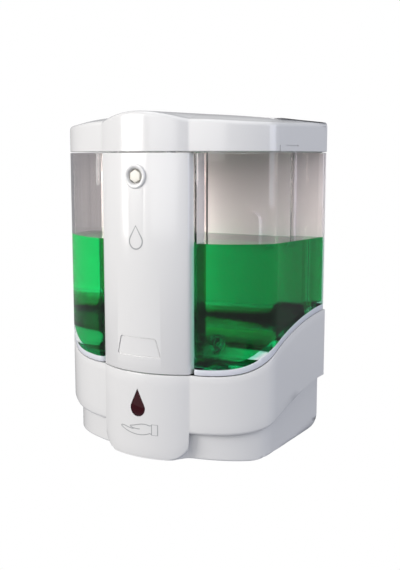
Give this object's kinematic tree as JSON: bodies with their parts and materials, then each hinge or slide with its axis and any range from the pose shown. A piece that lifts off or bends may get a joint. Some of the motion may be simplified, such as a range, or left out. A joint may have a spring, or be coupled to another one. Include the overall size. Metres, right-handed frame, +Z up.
{
  "type": "automatic wall soap dispenser",
  "caption": "Wall-mounted automatic soap dispenser: clear reservoir in a white case with keyed hinged lid, sensor-driven gear pump, nozzle and battery bay underneath.",
  "frame": {"origin": "centre of the wall plate's back face, on the wall", "axes": "+Z up, -Y out of the wall towards the user, +X to the user's right"},
  "size_m": [0.1778, 0.1046, 0.2268],
  "materials": {
    "white_abs": "glossy moulded ABS",
    "grey_abs": "glossy moulded ABS",
    "clear_plastic": "clear slightly smoky moulded plastic",
    "green_soap": "transparent green liquid",
    "red_lens": "dark red tinted lens",
    "plate_steel": "zinc-plated pressed steel",
    "zinc_steel": "zinc-plated steel",
    "natural_plastic": "natural acetal",
    "black_plastic": "black moulded plastic",
    "battery_wrap": "plain sleeve on a steel can",
    "silicone": "translucent silicone",
    "board_laminate": "green solder-masked laminate"
  },
  "bodies": {
    "case": {"wall_plate": "plate_steel", "back_housing": "white_abs", "cover_screw_1": "zinc_steel", "cover_screw_2": "zinc_steel", "cover_screw_3": "zinc_steel", "cover_screw_4": "zinc_steel", "hinge_pin_left": "zinc_steel", "hinge_pin_right": "zinc_steel", "reservoir": "clear_plastic", "soap": "green_soap", "deck": "grey_abs", "column_cover": "white_abs", "lock_bezel": "grey_abs", "lock_sleeve": "white_abs", "lock_nut": "zinc_steel", "lower_cover": "white_abs", "indicator_lens": "red_lens", "base_tray": "white_abs", "ir_window": "red_lens", "battery_box": "black_plastic", "battery_1": "battery_wrap", "battery_2": "battery_wrap", "battery_3": "battery_wrap", "battery_4": "battery_wrap", "contact_spring_1": "zinc_steel", "contact_spring_2": "zinc_steel", "contact_spring_3": "zinc_steel", "contact_spring_4": "zinc_steel", "pump_body": "natural_plastic", "pump_cover": "natural_plastic", "idler_pin": "zinc_steel", "motor": "zinc_steel", "inlet_hose": "silicone", "outlet_hose": "silicone", "nozzle": "white_abs", "nozzle_valve": "silicone", "circuit_board": "board_laminate", "board_screw_1": "zinc_steel", "board_screw_2": "zinc_steel", "indicator_led": "red_lens", "ir_emitter": "black_plastic", "ir_receiver": "black_plastic", "power_switch": "black_plastic"},
    "lid": {"lid": "white_abs", "lid_striker": "zinc_steel", "striker_pin": "zinc_steel"},
    "lock": {"lock_spindle": "natural_plastic", "lock_cam": "zinc_steel", "cam_screw": "zinc_steel"},
    "battery_door": {"battery_door": "white_abs", "door_contact_left": "zinc_steel", "door_contact_right": "zinc_steel"},
    "rotor": {"motor_shaft": "zinc_steel", "drive_gear": "natural_plastic"},
    "idler": {"idler_gear": "natural_plastic"},
    "switch": {"switch_slider": "black_plastic"}
  },
  "joints": [
    {"name": "lid_hinge", "type": "hinge", "parent": "case", "child": "lid", "pos_m": [0, -0.0075, 0.103], "axis": [-1, 0, 0], "range_deg": [0, 80]},
    {"name": "lock_turn", "type": "hinge", "parent": "case", "child": "lock", "pos_m": [0, -0.09, 0.0725], "axis": [0, 1, 0], "range_deg": [0, 90]},
    {"name": "battery_door_hinge", "type": "hinge", "parent": "case", "child": "battery_door", "pos_m": [0, -0.011, -0.1111], "axis": [1, 0, 0], "range_deg": [0, 90]},
    {"name": "pump_drive", "type": "hinge", "parent": "case", "child": "rotor", "pos_m": [0.0365, -0.055, -0.075], "axis": [0, 0, 1], "continuous": true},
    {"name": "pump_idler", "type": "hinge", "parent": "case", "child": "idler", "pos_m": [0.0365, -0.0694, -0.075], "axis": [0, 0, 1], "continuous": true},
    {"name": "power_slide", "type": "slide", "parent": "case", "child": "switch", "axis": [1, 0, 0], "range_m": [0, 0.004]}
  ],
  "couplings": [
    {"joint": "pump_idler", "follows": "pump_drive", "ratio": -1}
  ]
}
